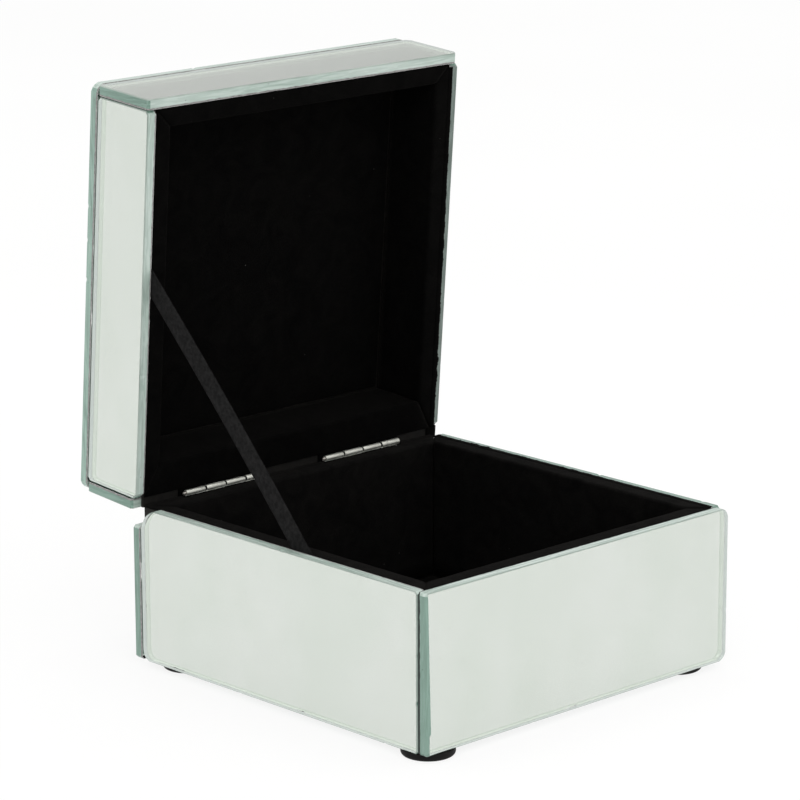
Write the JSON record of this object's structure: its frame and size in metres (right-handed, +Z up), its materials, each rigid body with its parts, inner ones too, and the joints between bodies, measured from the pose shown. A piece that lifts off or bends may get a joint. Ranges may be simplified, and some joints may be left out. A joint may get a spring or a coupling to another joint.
{
  "type": "vanity trinket box",
  "caption": "Square velvet-lined trinket box clad in cut mirror glass, with a hinged hollow lid of the same build held open by a ribbon stay and round feet under the corners.",
  "frame": {"origin": "on the table plane under the feet, below the middle of the bounds of the open box", "axes": "+Z up, -Y the front of the box, +Y the hinge side, +X the viewer's right when facing the front"},
  "size_m": [0.16, 0.1926, 0.2235],
  "materials": {
    "mirror_glass": "silvered clear float glass, ground and arrissed edges with a green cast, a few small edge chips",
    "black_wood": "thin fibreboard stained black, dull",
    "black_velvet": "black short-pile velvet with soft sheen and a little lint",
    "satin_nickel": "satin nickel plate on folded steel",
    "black_rubber": "matt black moulded bumper",
    "black_ribbon": "flat woven black ribbon, charcoal sheen, corded selvedges"
  },
  "bodies": {
    "base": {"base_floor_board": "black_wood", "base_front_wall": "black_wood", "base_back_wall": "black_wood", "base_left_wall": "black_wood", "base_right_wall": "black_wood", "base_front_mirror": "mirror_glass", "base_back_mirror": "mirror_glass", "base_left_mirror": "mirror_glass", "base_right_mirror": "mirror_glass", "foot_front_left": "black_rubber", "foot_front_right": "black_rubber", "foot_back_left": "black_rubber", "foot_back_right": "black_rubber", "base_lining_floor": "black_velvet", "base_lining_front": "black_velvet", "base_lining_back": "black_velvet", "base_lining_left": "black_velvet", "base_lining_right": "black_velvet", "hinge_left_base_leaf": "satin_nickel", "hinge_right_base_leaf": "satin_nickel", "hinge_left_pin": "satin_nickel", "hinge_right_pin": "satin_nickel", "stay_ribbon": "black_ribbon"},
    "lid": {"lid_top_board": "black_wood", "lid_front_wall": "black_wood", "lid_back_wall": "black_wood", "lid_left_wall": "black_wood", "lid_right_wall": "black_wood", "lid_top_mirror": "mirror_glass", "lid_front_mirror": "mirror_glass", "lid_back_mirror": "mirror_glass", "lid_left_mirror": "mirror_glass", "lid_right_mirror": "mirror_glass", "lid_lining_top": "black_velvet", "lid_lining_front": "black_velvet", "lid_lining_back": "black_velvet", "lid_lining_left": "black_velvet", "lid_lining_right": "black_velvet", "hinge_left_lid_leaf": "satin_nickel", "hinge_right_lid_leaf": "satin_nickel"}
  },
  "joints": [
    {"name": "lid_hinge", "type": "hinge", "parent": "base", "child": "lid", "pos_m": [0, 0.06182, 0.0643], "axis": [1, 0, 0], "range_deg": [0, 85.6], "deforming": ["stay_ribbon"]}
  ]
}
